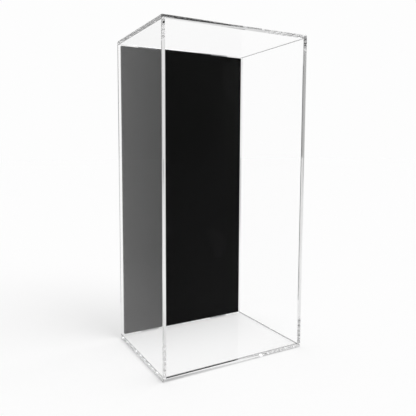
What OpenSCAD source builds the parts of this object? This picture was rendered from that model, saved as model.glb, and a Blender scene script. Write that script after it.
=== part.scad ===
// Wall display case: a clear five-sided cover over a black back panel that hangs on a wall cleat.
// X runs across the case, -Y is the front, +Z is up. The origin is the middle of the underside.

/* [Cover] */
// Outside width of the clear cover
case_w = 153; // [130:1:300]
// Outside depth of the clear cover
case_d = 102; // [70:1:200]
// Outside height of the clear cover
case_h = 305; // [200:1:500]
// Thickness of the clear sheet
sheet_t = 3; // [2:0.1:6]
// Width of the flat polished along each outside edge
edge_break = 0.6; // [0.2:0.1:0.8]

/* [Back panel] */
// Thickness of the black back panel
back_t = 3.2; // [2:0.1:6]
// Open gap between the back panel and each side wall
side_gap = 2.6; // [1:0.1:5]
// Gap between the back panel and the top and bottom sheets, filled by the edge pads
end_gap = 1.4; // [0.6:0.1:3]

/* [Edge pads] */
// Length of one edge pad
pad_len = 20; // [10:1:30]
// Distance from the middle of the panel to the middle of an edge pad
pad_offset = 42; // [30:1:48]

/* [Cleats] */
// Thickness of the hanging cleat and of the wall cleat
cleat_t = 6; // [4:0.5:8]
// Height of the hanging cleat on its wall side
hanging_h = 34; // [25:1:50]
// Length of the hanging cleat
hanging_w = 96; // [80:1:110]
// How far the hanging cleat reaches over the rear edge of the top sheet
hanging_lap = 0.9; // [0.6:0.1:1.8]
// Length of the wall cleat
wall_cleat_w = 84; // [80:1:100]
// Height of the wall cleat
wall_cleat_h = 30; // [24:1:40]

/* [Wall holes] */
// Diameter of the wall screw holes
screw_d = 4.5; // [3.5:0.1:5.5]
// Diameter of the countersinks, which hold flush screw heads
screw_head_d = 9; // [7:0.1:11]
// Distance between the wall screw holes
screw_pitch = 60; // [50:1:65]
// Height of the screw holes above the lower edge of the wall cleat
screw_rise = 11; // [8:0.5:13]

/* [Lower bar] */
// Length of the lower bar
lower_bar_w = 88; // [80:1:110]
// Height of the lower bar
lower_bar_h = 20; // [15:1:35]
// Height of the lower bar above the inside of the bottom sheet
lower_bar_rise = 6; // [4:0.5:20]
// Diameter of the round wall pads
wall_pad_d = 12; // [8:0.5:14]
// Thickness of the round wall pads
wall_pad_t = 1; // [0.5:0.1:2]
// Distance from the middle of the case to the middle of a wall pad
wall_pad_offset = 32; // [20:1:33]

/* [Clearances] */
// Clearance between pieces that slide past each other
slide_gap = 0.3; // [0.2:0.05:0.5]
// Free space between each cleat and the flat surface that faces it
cleat_gap = 0.5; // [0.4:0.1:1]

/* [Hidden] */
$fn = 64;
clear_sheet = [0.9, 0.95, 0.97, 0.3];
black_sheet = [0.03, 0.03, 0.035];
bare_metal = [0.75, 0.76, 0.78];
clear_rubber = [0.85, 0.87, 0.88, 0.6];
dark_felt = [0.1, 0.1, 0.1];

total_d = case_d + slide_gap + cleat_t + cleat_gap;
front_y = -total_d / 2;
rear_y = front_y + case_d;
back_y = rear_y + slide_gap;
wall_y = total_d / 2;
wall_h = case_h - 2 * sheet_t;
inner_w = case_w - 2 * sheet_t;

panel_w = inner_w - 2 * side_gap;
panel_h = wall_h - 2 * end_gap;
panel_z = sheet_t + end_gap;
edge_pad_t = end_gap - slide_gap;

hanging_top = case_h - sheet_t + hanging_lap;
hanging_low = hanging_top - hanging_h;
bevel_gap = slide_gap * sqrt(2);
wall_cleat_y = wall_y - cleat_t;
wall_cleat_top = hanging_low + cleat_t - cleat_gap - bevel_gap;
wall_cleat_low = wall_cleat_top - wall_cleat_h;
countersink = (screw_head_d - screw_d) / 2;
lower_bar_z = sheet_t + lower_bar_rise;
lower_bar_t = wall_y - back_y - wall_pad_t;

// Rectangle with its four corners clipped by the edge flat
module broken_rect(a, b) {
    x = a / 2;
    y = b / 2;
    c = edge_break;
    polygon([
        [-x + c, -y], [x - c, -y], [x, -y + c], [x, y - c],
        [x - c, y], [-x + c, y], [-x, y - c], [-x, -y + c]
    ]);
}

// Outside of the whole cover, with a flat along every edge
module cover_outside() {
    translate([0, front_y + case_d / 2, case_h / 2])
        intersection() {
            linear_extrude(height = case_h, center = true)
                broken_rect(case_w, case_d);
            rotate([90, 0, 0])
                linear_extrude(height = case_d, center = true)
                    broken_rect(case_w, case_h);
            rotate([90, 0, 90])
                linear_extrude(height = case_w, center = true)
                    broken_rect(case_d, case_h);
        }
}

// One sheet of the cover, trimmed to the outside
module cover_sheet(corner, size) {
    intersection() {
        cover_outside();
        translate(corner)
            cube(size);
    }
}

// Bar across the case with a cross section given as [y, z] points
module cross_bar(length, section) {
    rotate([90, 0, 90])
        linear_extrude(height = length, center = true)
            polygon(section);
}

module front_panel() {
    color(clear_sheet)
        cover_sheet([-inner_w / 2, front_y, sheet_t], [inner_w, sheet_t, wall_h]);
}

module left_panel() {
    color(clear_sheet)
        cover_sheet([-case_w / 2, front_y, sheet_t], [sheet_t, case_d, wall_h]);
}

module right_panel() {
    color(clear_sheet)
        cover_sheet([inner_w / 2, front_y, sheet_t], [sheet_t, case_d, wall_h]);
}

module top_panel() {
    color(clear_sheet)
        cover_sheet([-case_w / 2, front_y, case_h - sheet_t], [case_w, case_d, sheet_t]);
}

module bottom_panel() {
    color(clear_sheet)
        cover_sheet([-case_w / 2, front_y, 0], [case_w, case_d, sheet_t]);
}

module back_panel() {
    color(black_sheet)
        translate([-panel_w / 2, back_y - back_t, panel_z])
            cube([panel_w, back_t, panel_h]);
}

// Pair of edge pads with their undersides at height z
module edge_pads(z) {
    color(clear_rubber)
        for (side = [-1, 1])
            translate([side * pad_offset - pad_len / 2, back_y - back_t, z])
                cube([pad_len, back_t, edge_pad_t]);
}

module upper_edge_pads() {
    edge_pads(panel_z + panel_h);
}

module lower_edge_pads() {
    edge_pads(panel_z - edge_pad_t);
}

module hanging_cleat() {
    color(black_sheet)
        cross_bar(hanging_w, [
            [back_y, hanging_top],
            [back_y, hanging_low + cleat_t],
            [back_y + cleat_t, hanging_low],
            [back_y + cleat_t, hanging_top]
        ]);
}

module wall_cleat() {
    color(bare_metal)
        difference() {
            cross_bar(wall_cleat_w, [
                [wall_cleat_y, wall_cleat_low],
                [wall_y, wall_cleat_low],
                [wall_y, wall_cleat_top - cleat_t],
                [wall_cleat_y, wall_cleat_top]
            ]);
            for (side = [-1, 1])
                translate([side * screw_pitch / 2, wall_cleat_y, wall_cleat_low + screw_rise])
                    rotate([-90, 0, 0])
                        screw_hole();
        }
}

// Wall screw hole along +Z with its countersink at the origin
module screw_hole() {
    overrun = 1;
    translate([0, 0, -overrun])
        cylinder(d = screw_d, h = cleat_t + 2 * overrun);
    cylinder(d1 = screw_head_d, d2 = screw_d, h = countersink);
    translate([0, 0, -overrun])
        cylinder(d = screw_head_d, h = overrun);
}

module lower_bar() {
    color(black_sheet)
        translate([-lower_bar_w / 2, back_y, lower_bar_z])
            cube([lower_bar_w, lower_bar_t, lower_bar_h]);
}

module wall_pads() {
    color(dark_felt)
        for (side = [-1, 1])
            translate([side * wall_pad_offset, wall_y - wall_pad_t, lower_bar_z + lower_bar_h / 2])
                rotate([-90, 0, 0])
                    cylinder(d = wall_pad_d, h = wall_pad_t);
}

front_panel();
left_panel();
right_panel();
top_panel();
bottom_panel();
back_panel();
upper_edge_pads();
lower_edge_pads();
hanging_cleat();
lower_bar();
wall_cleat();
wall_pads();
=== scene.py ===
"""A clear wall display case on a black back panel, dressed for the photograph's view."""

import math

import bmesh
import bpy
from mathutils import Matrix, Vector


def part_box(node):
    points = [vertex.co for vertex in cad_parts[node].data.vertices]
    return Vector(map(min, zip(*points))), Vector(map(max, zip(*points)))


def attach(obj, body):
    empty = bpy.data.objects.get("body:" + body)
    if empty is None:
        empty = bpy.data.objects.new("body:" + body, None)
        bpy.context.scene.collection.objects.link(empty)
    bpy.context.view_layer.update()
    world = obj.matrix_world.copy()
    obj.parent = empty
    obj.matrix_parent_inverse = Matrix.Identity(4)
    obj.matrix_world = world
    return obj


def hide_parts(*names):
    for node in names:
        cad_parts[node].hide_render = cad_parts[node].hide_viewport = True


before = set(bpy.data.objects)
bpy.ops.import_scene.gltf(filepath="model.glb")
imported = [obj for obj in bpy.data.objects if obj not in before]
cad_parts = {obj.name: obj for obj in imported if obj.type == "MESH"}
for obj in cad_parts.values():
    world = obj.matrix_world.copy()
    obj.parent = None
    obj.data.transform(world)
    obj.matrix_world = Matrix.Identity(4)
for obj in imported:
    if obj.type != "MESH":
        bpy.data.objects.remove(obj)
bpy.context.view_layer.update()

# Clear sheets stand behind each other, so light is followed through many of their faces
BOUNCES = 48
scene = bpy.context.scene
scene.view_settings.view_transform = "Standard"
for kind in ("max_bounces", "transmission_bounces", "glossy_bounces", "transparent_max_bounces"):
    setattr(scene.cycles, kind, BOUNCES)

MM = 0.001


# Sizes of the case in millimetres, from the CAD nodes
def corners(node):
    low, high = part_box(node)
    return low / MM, high / MM


base_low, base_high = corners("bottom_panel")
SIDE, FRONT, REAR, SHEET = base_high.x, base_low.y, base_high.y, base_high.z
CASE_H = corners("top_panel")[1].z
INNER, INNER_FRONT = SIDE - SHEET, FRONT + SHEET

# Finish of the clear sheets in millimetres: the rounding of the outside edges on the top and bottom sheets
# and on the walls, the width of a cement line, the gap in a dry joint, and how deep the joint at the right
# end of the front sheet is fused
FLAT_EASE, WALL_EASE, EASE_STEPS = 0.9, 0.5, 3
CEMENT = 0.65
HAIR = 0.04
FUSED_FRONT = FRONT + 0.6 * SHEET

# Refraction of acrylic and of silicone
ACRYLIC_IOR, SILICONE_IOR = 1.49, 1.41

# Other finish in millimetres: the easing of the black pieces and of the grips, and the length of a grip
BOARD_EASE, BAR_EASE, GRIP_EASE = 0.25, 0.35, 0.12
GRIP_LEN = 20.0

# A felt spot's section: shares of its thickness from the bar, and how many millimetres the rim draws in
FELT_RIM = ((0.0, 0.0), (0.35, 0.0), (0.75, 0.1), (0.95, 0.4), (1.0, 0.8))
FELT_SIDES = 40

# Tests: near by and flush in millimetres, touching and one point in metres, and a face's direction
NEAR, FLUSH, TOUCH, MERGE = 0.1, 0.01, 1e-6, 1e-7
FACING, SQUARE_ON, SLANTED = 0.9, 0.999, 0.3


# Node helpers
def material(name):
    mat = bpy.data.materials.new(name)
    mat.use_nodes = True
    mat.node_tree.nodes.clear()
    return mat


class Tree:
    """Short hand for adding and joining nodes."""

    def __init__(self, tree):
        self.tree = tree

    def add(self, kind, values=None, **props):
        node = self.tree.nodes.new(kind)
        for key, value in props.items():
            setattr(node, key, value)
        for key, value in (values or {}).items():
            if hasattr(value, "is_output"):
                self.tree.links.new(value, node.inputs[key])
            else:
                node.inputs[key].default_value = value
        return node

    def place(self):
        return self.add("ShaderNodeTexCoord").outputs["Object"]

    def split(self, vector):
        return self.add("ShaderNodeSeparateXYZ", {0: vector}).outputs

    def stretch(self, where, x, y, z):
        return self.add("ShaderNodeMapping", {"Vector": where, "Scale": (x, y, z)}).outputs[0]

    def noise(self, where, scale, detail=2.0, rough=0.5):
        return self.add(
            "ShaderNodeTexNoise",
            {"Vector": where, "Scale": scale, "Detail": detail, "Roughness": rough},
        ).outputs[0]

    def span(self, value, low, high, start=0.0, end=1.0, smooth=False):
        """Goes from low to high while value goes from start to end."""
        return self.add(
            "ShaderNodeMapRange",
            {"Value": value, "From Min": start, "From Max": end, "To Min": low, "To Max": high},
            interpolation_type="SMOOTHSTEP" if smooth else "LINEAR",
        ).outputs[0]

    def step(self, value, start, end):
        return self.span(value, 0.0, 1.0, start, end, smooth=True)

    def maths(self, operation, a, b, clamp=False):
        return self.add("ShaderNodeMath", {0: a, 1: b}, operation=operation, use_clamp=clamp).outputs[0]

    def mix(self, share, a, b):
        return self.add("ShaderNodeMix", {0: share, 2: a, 3: b}, data_type="FLOAT").outputs[0]

    def blend(self, share, a, b):
        return self.add(
            "ShaderNodeMix", {0: share, 6: (*a, 1), 7: (*b, 1)}, data_type="RGBA"
        ).outputs[2]

    def bump(self, height, strength, distance):
        return self.add(
            "ShaderNodeBump", {"Height": height, "Strength": strength, "Distance": distance}
        ).outputs[0]

    def seen(self):
        """1 for rays that show the surroundings to the camera, straight, mirrored or through glass, and 1
        for those of them that something has mirrored on the way."""
        path = self.add("ShaderNodeLightPath").outputs
        both = self.maths("ADD", path["Is Camera Ray"], path["Is Glossy Ray"])
        shown = self.maths("ADD", both, path["Is Transmission Ray"], clamp=True)
        return shown, self.maths("MINIMUM", path["Glossy Depth"], 1.0)

    def principled(self, values):
        self.surface(self.add("ShaderNodeBsdfPrincipled", values))

    def surface(self, shader, kind="ShaderNodeOutputMaterial"):
        self.add(kind, {"Surface": shader.outputs[0]})


# Materials of the object
def clear_sheet(name, mirror, shade, low, high, wave, tint=0.999):
    """Clear cast acrylic. mirror scales what it mirrors short of total reflection, low to high is the
    polish, which varies in soft patches with faint wiping marks, wave is how uneven the mirror is, shade
    is what one face lets through of a lamp's light, and tint what it lets through of the view."""
    mat = material(name)
    t = Tree(mat.node_tree)
    where = t.place()
    patches = t.noise(where, 22.0, 3.0)
    wiped = t.noise(t.stretch(where, 260.0, 260.0, 14.0), 1.0, 2.0)
    polish = t.span(t.maths("MULTIPLY", patches, wiped), low, high, 0.1, 0.5)
    uneven = t.bump(t.noise(where, 30.0, 1.0), wave, 0.0002)
    edge_on = t.add("ShaderNodeFresnel", {"IOR": ACRYLIC_IOR}).outputs[0]
    total = t.step(edge_on, 0.5, 0.95)
    share = t.maths("MAXIMUM", t.maths("MULTIPLY", edge_on, mirror), total)
    bend = t.add(
        "ShaderNodeBsdfRefraction",
        {"Color": (tint, tint, tint, 1), "Roughness": polish, "IOR": ACRYLIC_IOR},
    )
    gloss = t.add("ShaderNodeBsdfGlossy", {"Color": (1, 1, 1, 1), "Roughness": polish, "Normal": uneven})
    glass = t.add("ShaderNodeMixShader", {0: share, 1: bend.outputs[0], 2: gloss.outputs[0]})
    lets = t.add("ShaderNodeBsdfTransparent", {"Color": (shade, shade, shade, 1)})
    path = t.add("ShaderNodeLightPath").outputs
    for_light = t.maths("MAXIMUM", path["Is Shadow Ray"], path["Is Diffuse Ray"])
    t.surface(t.add("ShaderNodeMixShader", {0: for_light, 1: glass.outputs[0], 2: lets.outputs[0]}))
    return mat


def solvent_weld():
    """Where two sheets are fused by solvent there is no surface left, so light goes straight on."""
    mat = material("solvent_weld")
    t = Tree(mat.node_tree)
    t.surface(t.add("ShaderNodeBsdfTransparent", {"Color": (1, 1, 1, 1)}))
    return mat


def black_sheet():
    mat = material("black_acrylic")
    t = Tree(mat.node_tree)
    where = t.place()
    clouds = t.noise(where, 9.0, 4.0)
    grains = t.noise(where, 1400.0, 2.0)
    both = t.maths("MULTIPLY", clouds, grains)
    t.principled(
        {
            "Base Color": t.blend(both, (0.0056, 0.0056, 0.0056), (0.0112, 0.0112, 0.0114)),
            "Roughness": t.span(clouds, 0.16, 0.34, 0.3, 0.7),
            "Specular IOR Level": 0.04,
            "Normal": t.bump(grains, 0.05, 0.00005),
        }
    )
    return mat


def brushed_aluminium():
    mat = material("brushed_aluminium")
    t = Tree(mat.node_tree)
    where = t.place()
    lines = t.noise(t.stretch(where, 18.0, 2600.0, 2600.0), 1.0, 3.0, 0.6)
    clouds = t.noise(where, 40.0, 3.0)
    t.principled(
        {
            "Base Color": t.blend(lines, (0.50, 0.505, 0.51), (0.68, 0.685, 0.69)),
            "Metallic": 1.0,
            "Roughness": t.span(t.maths("MULTIPLY", lines, clouds), 0.28, 0.5, 0.1, 0.45),
            "Normal": t.bump(lines, 0.12, 0.00005),
        }
    )
    return mat


def silicone():
    mat = material("clear_silicone")
    t = Tree(mat.node_tree)
    clouds = t.noise(t.place(), 300.0, 3.0)
    t.principled(
        {
            "Base Color": t.blend(clouds, (0.78, 0.80, 0.81), (0.88, 0.89, 0.90)),
            "Roughness": t.span(clouds, 0.38, 0.55, 0.3, 0.7),
            "IOR": SILICONE_IOR,
            "Transmission Weight": 0.6,
            "Normal": t.bump(clouds, 0.1, 0.00005),
        }
    )
    return mat


def felt():
    mat = material("dark_felt")
    t = Tree(mat.node_tree)
    where = t.place()
    fibres = t.noise(t.stretch(where, 900.0, 900.0, 3200.0), 1.0, 5.0, 0.7)
    clumps = t.noise(where, 420.0, 4.0, 0.65)
    both = t.maths("MULTIPLY", fibres, clumps)
    share = t.span(both, 0.0, 1.0, 0.1, 0.45)
    t.principled(
        {
            "Base Color": t.blend(share, (0.015, 0.015, 0.016), (0.075, 0.075, 0.08)),
            "Roughness": t.span(both, 0.85, 1.0, 0.1, 0.45),
            "Specular IOR Level": 0.1,
            "Sheen Weight": 0.4,
            "Sheen Roughness": 0.6,
            "Normal": t.bump(both, 0.8, 0.0003),
        }
    )
    return mat


# Mesh helpers
def piece(name, bm, mats, body, node):
    """A mesh object made from bm, riding on body and standing for the CAD node."""
    bmesh.ops.remove_doubles(bm, verts=bm.verts, dist=MERGE)
    bmesh.ops.recalc_face_normals(bm, faces=bm.faces)
    mesh = bpy.data.meshes.new(name)
    bm.to_mesh(mesh)
    bm.free()
    for mat in mats:
        mesh.materials.append(mat)
    obj = bpy.data.objects.new(name, mesh)
    scene.collection.objects.link(obj)
    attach(obj, body)
    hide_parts(node)


def slab(bm, low, high):
    """Adds a box between two corners in millimetres."""
    for v in bmesh.ops.create_cube(bm, size=1.0)["verts"]:
        v.co = Vector([MM * (a if c < 0 else b) for c, a, b in zip(v.co, low, high)])


def extruded(profile, half):
    """A bar along X with the given outline in Y and Z, in millimetres."""
    bm = bmesh.new()
    ends = [[bm.verts.new((x * MM, y * MM, z * MM)) for y, z in profile] for x in (-half, half)]
    bm.faces.new(ends[0])
    bm.faces.new(reversed(ends[1]))
    for i in range(len(profile)):
        j = (i + 1) % len(profile)
        bm.faces.new((ends[0][j], ends[0][i], ends[1][i], ends[1][j]))
    bmesh.ops.recalc_face_normals(bm, faces=bm.faces)
    return bm


def eased(bm, width, edges=None, steps=2):
    geom = bm.edges[:] if edges is None else edges
    bmesh.ops.bevel(bm, geom=geom, offset=width * MM, segments=steps, profile=0.5, affect="EDGES")


# The clear cover
OUTSIDE = ((-SIDE, SIDE), (FRONT, REAR), (0, CASE_H))

# The planes of the inside faces, of the cement lines beside them and of a joint that is fused in part
CUTS = (
    (-INNER, -INNER + CEMENT, INNER - CEMENT, INNER),
    (FUSED_FRONT, INNER_FRONT),
    (SHEET + CEMENT, CASE_H - SHEET - CEMENT),
)

# The material slots of a sheet
BROAD_FACE, POLISHED_EDGE, FUSED, CEMENT_LINE, SAWN_END = range(5)


def outer_faces(point):
    """How many of the case's six outside faces a point lies on."""
    return sum(
        any(abs(value - MM * plane) < TOUCH for plane in planes)
        for value, planes in zip(point, OUTSIDE)
    )


def outside_edge(edge):
    one, two = (v.co for v in edge.verts)
    return min(outer_faces(one), outer_faces(two), outer_faces((one + two) / 2)) >= 2


def in_corner(point, broad):
    """Within a cement line's width of the joint between a side wall and the top or bottom sheet, or of
    the one under the front sheet."""
    foot = point.z < SHEET + CEMENT
    head = point.z > CASE_H - SHEET - CEMENT
    return (
        (broad == 0 and (foot or head))
        or (broad == 1 and foot)
        or (broad == 2 and abs(point.x) > INNER - CEMENT)
    )


def inside_face(point, normal):
    """On the side of a sheet that faces the room inside the case."""
    return (
        (abs(normal.x) > FACING and abs(abs(point.x) - INNER) < FLUSH)
        or (normal.y > FACING and abs(point.y - INNER_FRONT) < FLUSH)
        or (abs(normal.z) > FACING and min(abs(point.z - SHEET), abs(point.z - CASE_H + SHEET)) < FLUSH)
    )


def sheet(name, node, glued, broad, faces):
    """One sheet of the case. Its edges on the outside of the case are rounded, glued(point, normal) tells
    where it is welded to another sheet, and broad is the axis across its thickness. Elsewhere a joint is
    dry: an end that meets another sheet stands a hair's breadth off it, so the joint mirrors. The ends of
    the top and bottom sheets are sawn, and all other edges polished."""
    low, high = corners(node)
    for axis, (outer_low, outer_high) in enumerate(OUTSIDE):
        if axis != broad:
            low[axis] += HAIR * (low[axis] > outer_low + NEAR)
            high[axis] -= HAIR * (high[axis] < outer_high - NEAR)
    bm = bmesh.new()
    slab(bm, low, high)
    ease = WALL_EASE if broad == 0 else FLAT_EASE
    eased(bm, ease, [e for e in bm.edges if outside_edge(e)], EASE_STEPS)
    for axis, cuts in enumerate(CUTS):
        across = Vector([float(i == axis) for i in range(3)])
        for cut in cuts:
            if low[axis] + NEAR < cut < high[axis] - NEAR:
                everything = bm.verts[:] + bm.edges[:] + bm.faces[:]
                bmesh.ops.bisect_plane(bm, geom=everything, plane_co=across * cut * MM, plane_no=across)
    bm.normal_update()
    for f in bm.faces:
        middle = f.calc_center_median() / MM
        if glued(middle, f.normal):
            f.material_index = FUSED
        elif inside_face(middle, f.normal) and in_corner(middle, broad):
            f.material_index = CEMENT_LINE
        elif broad == 2 and abs(f.normal.x) > SLANTED:
            f.material_index = SAWN_END
        elif abs(f.normal[broad]) > SQUARE_ON:
            f.material_index = BROAD_FACE
        else:
            f.material_index = POLISHED_EDGE
    piece(name, bm, (faces, polished, fused, cement, sawn), "cover", node)


def over_side(point, normal):
    return normal.z > FACING and abs(point.x) > INNER


def under_top(point, normal):
    return normal.z < -FACING and (abs(point.x) > INNER or point.y < INNER_FRONT)


def at_ends(point, normal):
    return abs(normal.z) > FACING


def right_joints(point, normal):
    return at_ends(point, normal) or (normal.x < -FACING and point.y < FUSED_FRONT)


def front_joints(point, normal):
    return normal.z > FACING or (normal.x > FACING and point.y < FUSED_FRONT)


FACE = dict(low=0.0, high=0.004, wave=0.01)
fused = solvent_weld()
polished = clear_sheet("clear_edge", 1.0, 0.05, low=0.05, high=0.12, wave=0.05)
sawn = clear_sheet("sawn_end", 1.0, 0.05, low=0.25, high=0.4, wave=0.05, tint=0.8)
cement = clear_sheet("cement_line", 0.2, 0.9, low=0.08, high=0.14, wave=0.2, tint=0.55)
quiet_wall = clear_sheet("clear_wall_quiet", 0.05, 0.995, **FACE)
bright_wall = clear_sheet("clear_wall", 0.53, 0.985, **FACE)
quiet_top = clear_sheet("clear_top", 0.05, 0.995, **FACE)
base = clear_sheet("clear_base", 0.15, 0.995, **FACE)

sheet("bottom_sheet", "bottom_panel", over_side, 2, base)
sheet("top_sheet", "top_panel", under_top, 2, quiet_top)
sheet("left_sheet", "left_panel", at_ends, 0, bright_wall)
sheet("right_sheet", "right_panel", right_joints, 0, quiet_wall)
sheet("front_sheet", "front_panel", front_joints, 1, quiet_wall)

# The back unit
black = black_sheet()
clear_rubber = silicone()

bm = bmesh.new()
slab(bm, *corners("back_panel"))
eased(bm, BOARD_EASE)
piece("back_board", bm, (black,), "back_unit", "back_panel")

for name, node in (("upper_grips", "upper_edge_pads"), ("lower_grips", "lower_edge_pads")):
    low, high = corners(node)
    bm = bmesh.new()
    slab(bm, low, (low.x + GRIP_LEN, high.y, high.z))
    slab(bm, (high.x - GRIP_LEN, low.y, low.z), high)
    eased(bm, GRIP_EASE)
    piece(name, bm, (clear_rubber,), "back_unit", node)

low, high = corners("hanging_cleat")
slope = high.y - low.y
bm = extruded([(low.y, high.z), (high.y, high.z), (high.y, low.z), (low.y, low.z + slope)], high.x)
eased(bm, BAR_EASE)
piece("hanging_rail", bm, (black,), "back_unit", "hanging_cleat")

low, high = corners("lower_bar")
bm = extruded([(low.y, low.z), (high.y, low.z), (high.y, high.z), (low.y, high.z)], high.x)
eased(bm, BAR_EASE)
piece("lower_spacer", bm, (black,), "back_unit", "lower_bar")


def felt_spot(bm, middle, radius, near, far):
    """A round spot about middle (x, z) between two depths in millimetres, with a soft far rim."""
    x, z = middle
    turns = [math.tau * k / FELT_SIDES for k in range(FELT_SIDES)]
    rings = []
    for out, less in FELT_RIM:
        y = near + out * (far - near)
        r = radius - less
        rings.append(
            [bm.verts.new(((x + r * math.cos(a)) * MM, y * MM, (z + r * math.sin(a)) * MM)) for a in turns]
        )
    for one, two in zip(rings, rings[1:]):
        for k in range(FELT_SIDES):
            bm.faces.new((one[k], one[k - 1], two[k - 1], two[k]))
    bm.faces.new(rings[0])
    bm.faces.new(reversed(rings[-1]))


low, high = corners("wall_pads")
radius = (high.z - low.z) / 2
bm = bmesh.new()
for x in (low.x + radius, high.x - radius):
    felt_spot(bm, (x, low.z + radius), radius, low.y, high.y)
piece("felt_spots", bm, (felt(),), "back_unit", "wall_pads")

# The wall's rail keeps its CAD shape
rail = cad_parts["wall_cleat"]
rail.data.materials.clear()
rail.data.materials.append(brushed_aluminium())

# The floor's half width and its depth below the case in metres, its tone and grain, and the glow that
# makes it white for the camera
FLOOR_REACH, FLOOR_DROP = 8.0, 0.0002
FLOOR_TONE, FLOOR_GRAIN, FLOOR_GLOW = 0.5, 0.006, 0.483

# The shares of that glow that the case mirrors from the left, from ahead at the right and from behind, and
# where they change: at metres from the origin or, ahead, at a share of X in the distance
LEFT_NEAR, LEFT_FAR, AHEAD_RIGHT, BEHIND_NEAR, BEHIND_FAR = 0.9, 0.53, 0.95, 0.8, 0.0
LEFT_FADE, AHEAD_TURN, BEHIND_FADE = (0.08, 0.5), (0.66, 0.76), (0.5, 3.0)
AHEAD_TO_BEHIND, LEFT_TO_RIGHT = (-0.08, 0.04), (-0.1, -0.02)


def mirrored_floor(t, where):
    """The share of the floor's glow that the case mirrors. The left dims with distance, and so does what
    lies behind; ahead only the far right glows."""
    at = t.split(where)
    reach = t.add("ShaderNodeVectorMath", {0: where}, operation="LENGTH").outputs["Value"]
    left = t.span(reach, LEFT_NEAR, LEFT_FAR, *LEFT_FADE, smooth=True)
    turned = t.maths("DIVIDE", at["X"], reach)
    ahead = t.span(turned, 0.0, AHEAD_RIGHT, *AHEAD_TURN, smooth=True)
    behind = t.span(reach, BEHIND_NEAR, BEHIND_FAR, *BEHIND_FADE)
    right = t.mix(t.step(at["Y"], *AHEAD_TO_BEHIND), ahead, behind)
    return t.mix(t.step(at["X"], *LEFT_TO_RIGHT), left, right)


def pale_floor():
    """White paper that keeps the object's shadow."""
    mat = material("pale_floor")
    t = Tree(mat.node_tree)
    where = t.place()
    paper = t.noise(where, 160.0, 3.0)
    tone = t.blend(paper, (FLOOR_TONE - FLOOR_GRAIN,) * 3, (FLOOR_TONE + FLOOR_GRAIN,) * 3)
    lit = t.add("ShaderNodeBsdfDiffuse", {"Color": tone, "Roughness": 0.0})
    shown, mirrored = t.seen()
    strength = t.maths("MULTIPLY", shown, t.mix(mirrored, 1.0, mirrored_floor(t, where)))
    glow = t.add("ShaderNodeEmission", {"Color": (FLOOR_GLOW,) * 3 + (1,), "Strength": strength})
    t.surface(t.add("ShaderNodeAddShader", {0: lit.outputs[0], 1: glow.outputs[0]}))
    return mat


mesh = bpy.data.meshes.new("floor")
signs = ((-1, -1), (1, -1), (1, 1), (-1, 1))
mesh.from_pydata([(x * FLOOR_REACH, y * FLOOR_REACH, -FLOOR_DROP) for x, y in signs], [], [(0, 1, 2, 3)])
mesh.materials.append(pale_floor())
floor = bpy.data.objects.new("floor", mesh)
scene.collection.objects.link(floor)

# The studio is white for the camera and soft for the light
WHITE, SOFT_LIGHT = 0.983, 0.08

# The levels that the case mirrors from in front, low, in the middle and high; from behind, from the far left
# round to the right; and from what is bright at the right, in front and high behind
FRONT_LOW, FRONT_MIDDLE, FRONT_HIGH = 0.3, 0.42, 0.75
FAR_LEFT, REAR_LEFT, REAR_MIDDLE, REAR_RIGHT = 0.36, 0.74, 0.85, 0.45
BRIGHT_RIGHT = 0.95

# Where they change, in parts of a direction: X from left to right, Z upwards and Y from front to rear
LEFT_ROUND, LEFT_TO_MIDDLE, MIDDLE_TO_RIGHT = (-0.75, -0.4), (-0.4, 0.1), (0.35, 0.65)
LOW_TO_MIDDLE, MIDDLE_TO_HIGH, RIGHT_RISE = (0.1, 0.27), (0.27, 0.42), (0.17, 0.34)
FRONT_TO_RIGHT, FRONT_TO_REAR = (0.52, 0.6), (-0.2, 0.4)


def mirrored_studio(t):
    """The level of the surroundings that the case mirrors, by direction."""
    way = t.split(t.add("ShaderNodeTexCoord").outputs["Generated"])
    left = t.span(way["X"], FAR_LEFT, REAR_LEFT, *LEFT_ROUND, smooth=True)
    more = t.span(way["X"], 0.0, REAR_MIDDLE - REAR_LEFT, *LEFT_TO_MIDDLE, smooth=True)
    right = t.span(way["Z"], REAR_RIGHT, BRIGHT_RIGHT, *RIGHT_RISE, smooth=True)
    rear = t.mix(t.step(way["X"], *MIDDLE_TO_RIGHT), t.maths("ADD", left, more), right)
    high = t.span(way["Z"], FRONT_MIDDLE, FRONT_HIGH, *MIDDLE_TO_HIGH, smooth=True)
    low = t.span(way["Z"], FRONT_LOW / FRONT_MIDDLE, 1.0, *LOW_TO_MIDDLE, smooth=True)
    ahead = t.maths("MULTIPLY", high, low)
    front = t.mix(t.step(way["X"], *FRONT_TO_RIGHT), ahead, BRIGHT_RIGHT)
    return t.mix(t.step(way["Y"], *FRONT_TO_REAR), front, rear)


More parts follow.
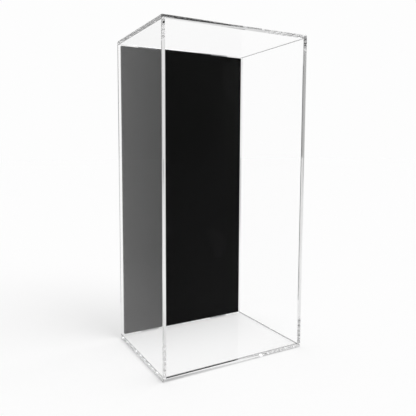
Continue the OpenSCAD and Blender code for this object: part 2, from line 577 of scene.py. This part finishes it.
world = bpy.data.worlds.new("studio")
scene.world = world
world.use_nodes = True
world.node_tree.nodes.clear()
t = Tree(world.node_tree)
shown, mirrored = t.seen()
level = t.mix(mirrored, WHITE, mirrored_studio(t))
backdrop = t.add("ShaderNodeBackground", {"Color": (1, 1, 1, 1), "Strength": level})
soft = t.add("ShaderNodeBackground", {"Color": (1, 1, 1, 1), "Strength": SOFT_LIGHT})
t.surface(
    t.add("ShaderNodeMixShader", {0: shown, 1: soft.outputs[0], 2: backdrop.outputs[0]}),
    "ShaderNodeOutputWorld",
)

# Each lamp's level on the floor, its spread in degrees and the way its light goes
LAMPS = (
    ("key", 0.5, 60, (-0.55, 0.35, -0.85)),
    ("overhead", 0.42, 20, (0.0, -0.08, -0.99)),
)
for name, level, spread, way in LAMPS:
    way = Vector(way).normalized()
    lamp = bpy.data.lights.new(name, "SUN")
    lamp.energy = level * math.pi / -way.z
    lamp.angle = math.radians(spread)
    held = bpy.data.objects.new(name, lamp)
    scene.collection.objects.link(held)
    held.rotation_euler = way.to_track_quat("-Z", "Y").to_euler()

# The photograph's camera: the image's size, focal length and middle in pixels, its place and its turn
FRAME, FOCAL, MIDDLE = 416, 443.43, (170.474, 187.787)
CAMERA_AT = (-0.233163, -0.380048, 0.197428)
YAW, PITCH, ROLL = 0.467130, 0.085730, 0.002958
SENSOR = 36

lens = bpy.data.cameras.new("camera")
lens.sensor_width = SENSOR
lens.lens = FOCAL * SENSOR / FRAME
lens.shift_x = (FRAME / 2 - MIDDLE[0]) / FRAME
lens.shift_y = (MIDDLE[1] - FRAME / 2) / FRAME
camera = bpy.data.objects.new("camera", lens)
scene.collection.objects.link(camera)
ahead = Vector((math.sin(YAW) * math.cos(PITCH), math.cos(YAW) * math.cos(PITCH), -math.sin(PITCH)))
level_right = Vector((math.cos(YAW), -math.sin(YAW), 0))
level_down = ahead.cross(level_right)
right = level_right * math.cos(ROLL) + level_down * math.sin(ROLL)
down = level_down * math.cos(ROLL) - level_right * math.sin(ROLL)
turn = Matrix((right, -down, -ahead)).transposed().to_4x4()
camera.matrix_world = Matrix.Translation(CAMERA_AT) @ turn
scene.camera = camera
